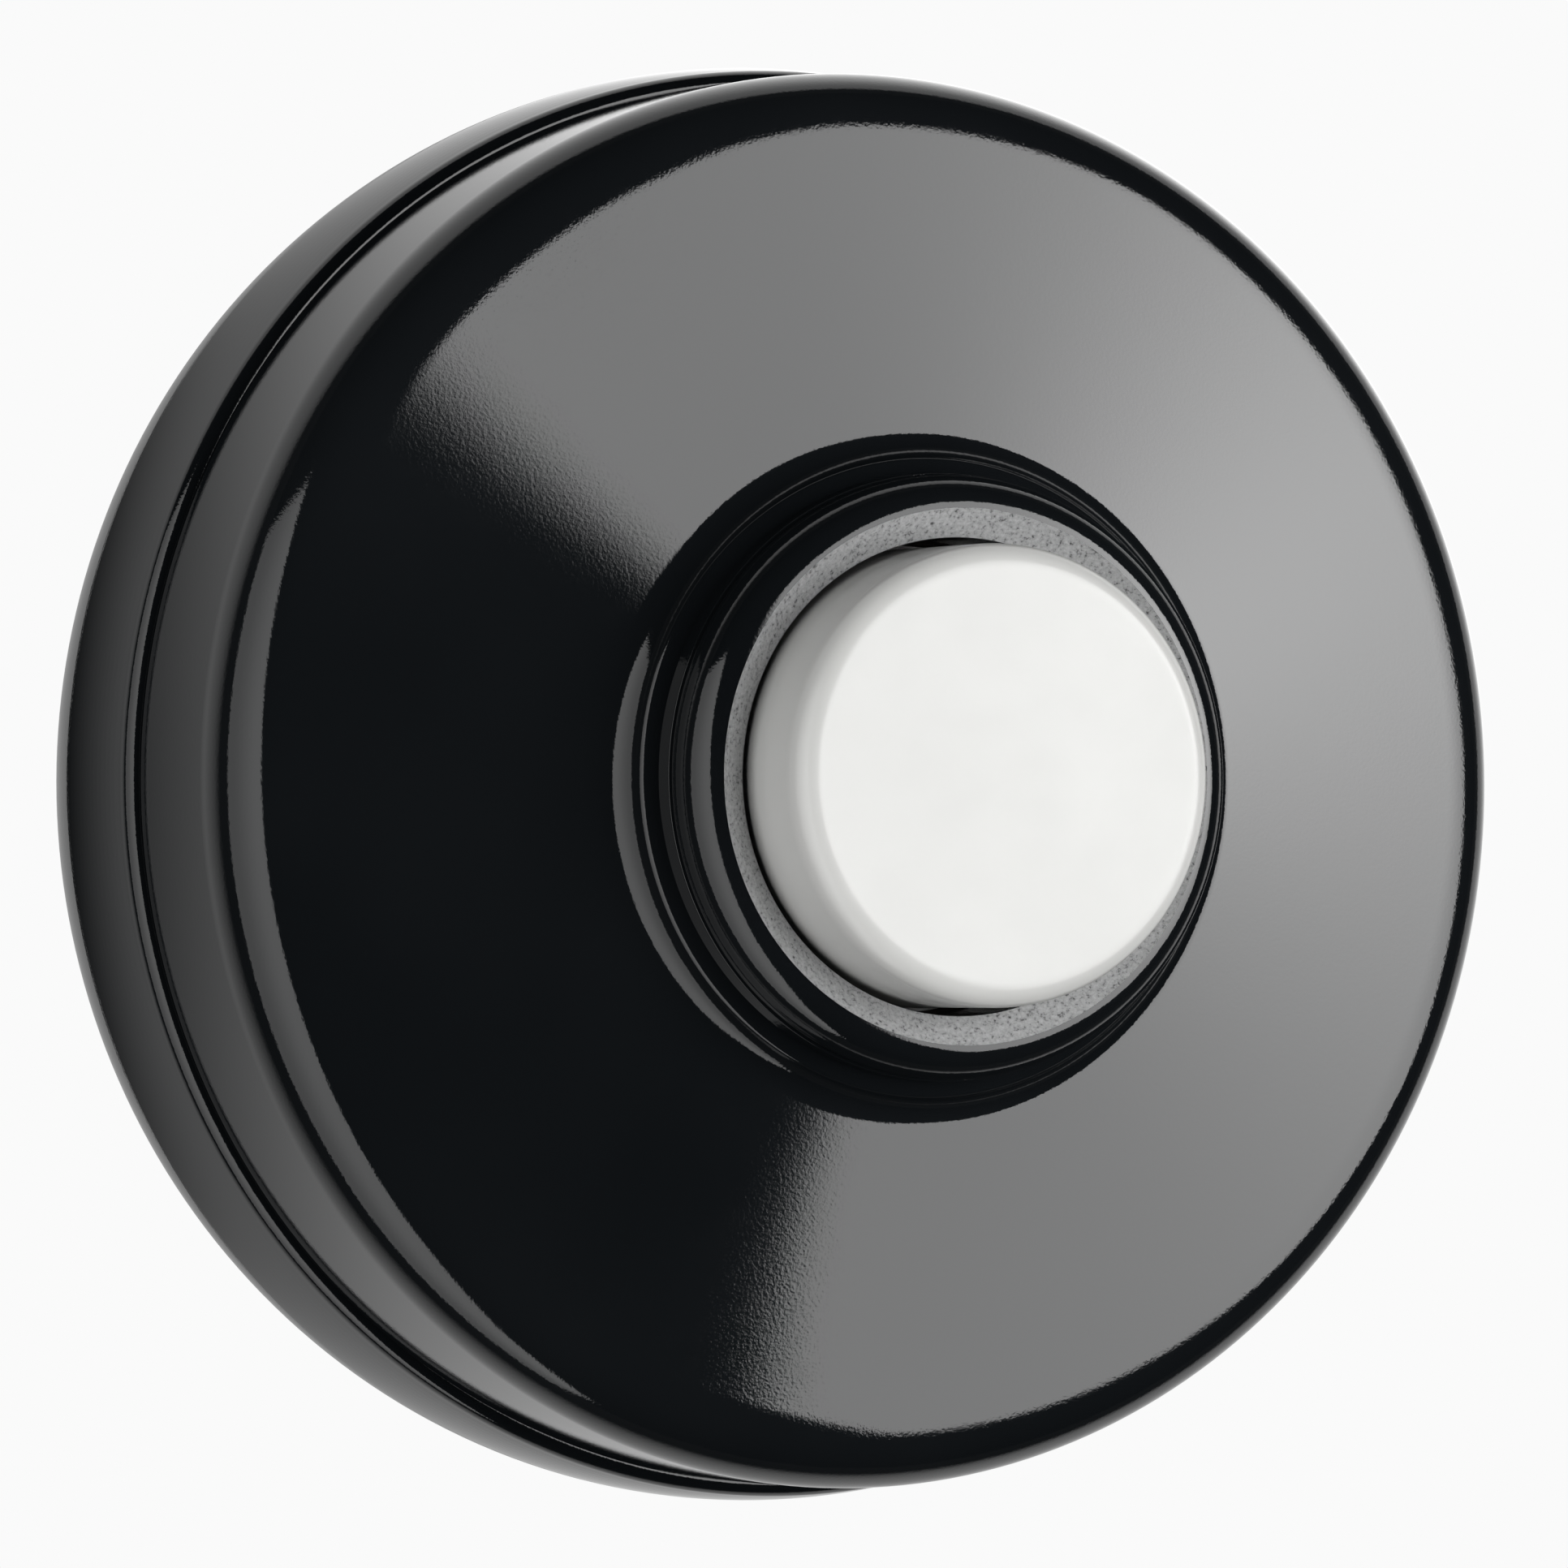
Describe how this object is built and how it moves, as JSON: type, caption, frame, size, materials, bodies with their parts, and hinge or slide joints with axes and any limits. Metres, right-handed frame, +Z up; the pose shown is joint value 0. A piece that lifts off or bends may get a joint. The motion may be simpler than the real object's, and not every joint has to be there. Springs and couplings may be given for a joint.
{
  "type": "doorbell push button",
  "caption": "Round surface-mounted bell push: a threaded base, a screw-on conical cap with a stepped collar, and a sprung button over a leaf contact.",
  "frame": {"origin": "centre of the flat back, on the wall's surface", "axes": "+Z up the wall, -Y out of the wall along the axis of the button, +X to the right as seen from the front"},
  "size_m": [0.065, 0.0347, 0.065],
  "materials": {
    "phenolic": "glossy black moulded phenolic, fine orange peel, ground on the collar's ring",
    "button_white": "smooth glossy white moulded urea",
    "rubber": "matt black rubber",
    "fibre": "matt red-brown fibre",
    "brass": "plain turned and stamped brass",
    "spring_bronze": "satin phosphor bronze strip",
    "silver": "polished silver contact",
    "steel": "zinc plated steel"
  },
  "bodies": {
    "base": {"base": "phenolic", "leaf_tail": "spring_bronze", "fixed_strip": "spring_bronze", "fixed_contact": "silver", "leaf_clamp": "steel", "contact_inserts": "brass", "leaf_screws": "steel", "strip_screw": "steel", "terminal_inserts": "brass", "terminal_washers": "steel", "terminal_screws": "brass", "cable_grommet": "rubber"},
    "seal_ring": {"seal_ring": "rubber"},
    "cap": {"cap": "phenolic", "retainer_plate": "steel", "cap_inserts": "brass", "retainer_screws": "steel"},
    "button": {"push_button": "button_white", "button_stem": "brass", "flange_washer": "fibre"},
    "contact_arm": {"contact_leaf": "spring_bronze", "moving_contact": "silver"}
  },
  "joints": [
    {"name": "cap_turn", "type": "hinge", "parent": "base", "child": "seal_ring", "pos_m": [0, -0.01205, 0], "axis": [0, -1, 0], "range_deg": [0, 1440]},
    {"name": "cap_lift", "type": "slide", "parent": "seal_ring", "child": "cap", "axis": [0, -1, 0], "range_m": [0, 0.016]},
    {"name": "button_press", "type": "slide", "parent": "cap", "child": "button", "axis": [0, 1, 0], "range_m": [0, 0.0016], "stiffness_N_per_m": 1200},
    {"name": "leaf_flex", "type": "hinge", "parent": "base", "child": "contact_arm", "pos_m": [-0.012, -0.01425, 0], "axis": [0, 0, 1], "range_deg": [0, 8]}
  ],
  "couplings": [
    {"joint": "cap_lift", "follows": "cap_turn", "m_per_rad": 0.00063662},
    {"joint": "leaf_flex", "follows": "button_press", "rad_per_m": 83.333}
  ]
}
